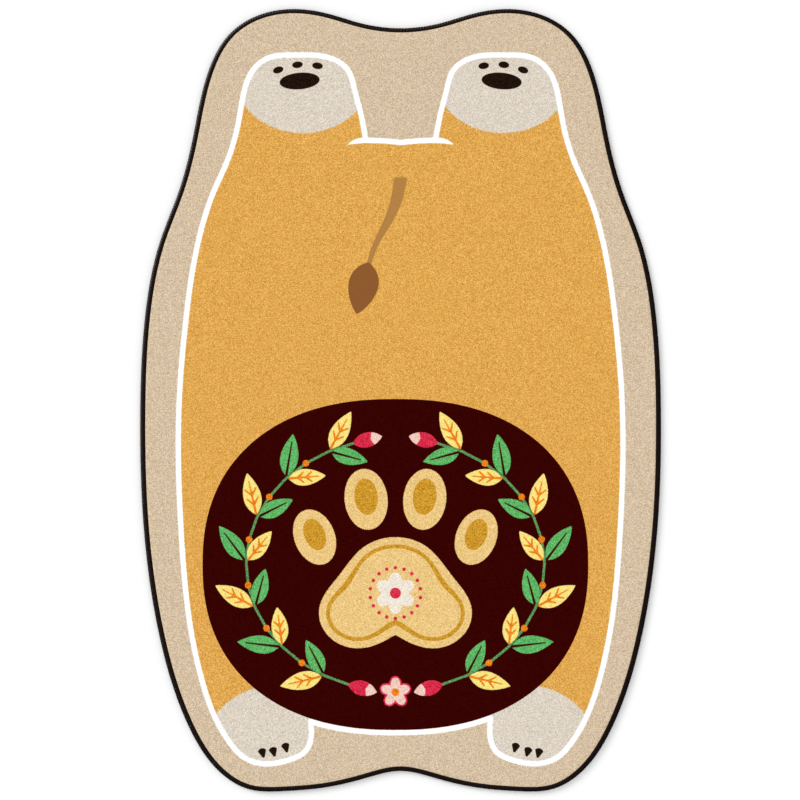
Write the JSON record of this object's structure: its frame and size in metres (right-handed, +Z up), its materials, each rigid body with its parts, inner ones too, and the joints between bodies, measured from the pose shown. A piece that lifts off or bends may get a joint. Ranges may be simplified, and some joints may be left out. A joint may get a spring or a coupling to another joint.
{
  "type": "animal shaped kids rug",
  "caption": "Short-pile floor rug for a child's room, cut to the outline of a crouching animal seen from above, with an overlocked edge.",
  "frame": {"origin": "middle of the rug's footprint, on the floor", "axes": "+Z up through the pile; +Y along the rug's length towards the hind paws; +X across its width, towards the right seen from above"},
  "size_m": [0.8002, 1.2019, 0.007],
  "materials": {
    "pile": "matte short cut pile, printed",
    "edge_yarn": "soft satin overlock yarn"
  },
  "bodies": {
    "root": {"carpet": "pile", "overlocked_edge": "edge_yarn"}
  },
  "joints": []
}
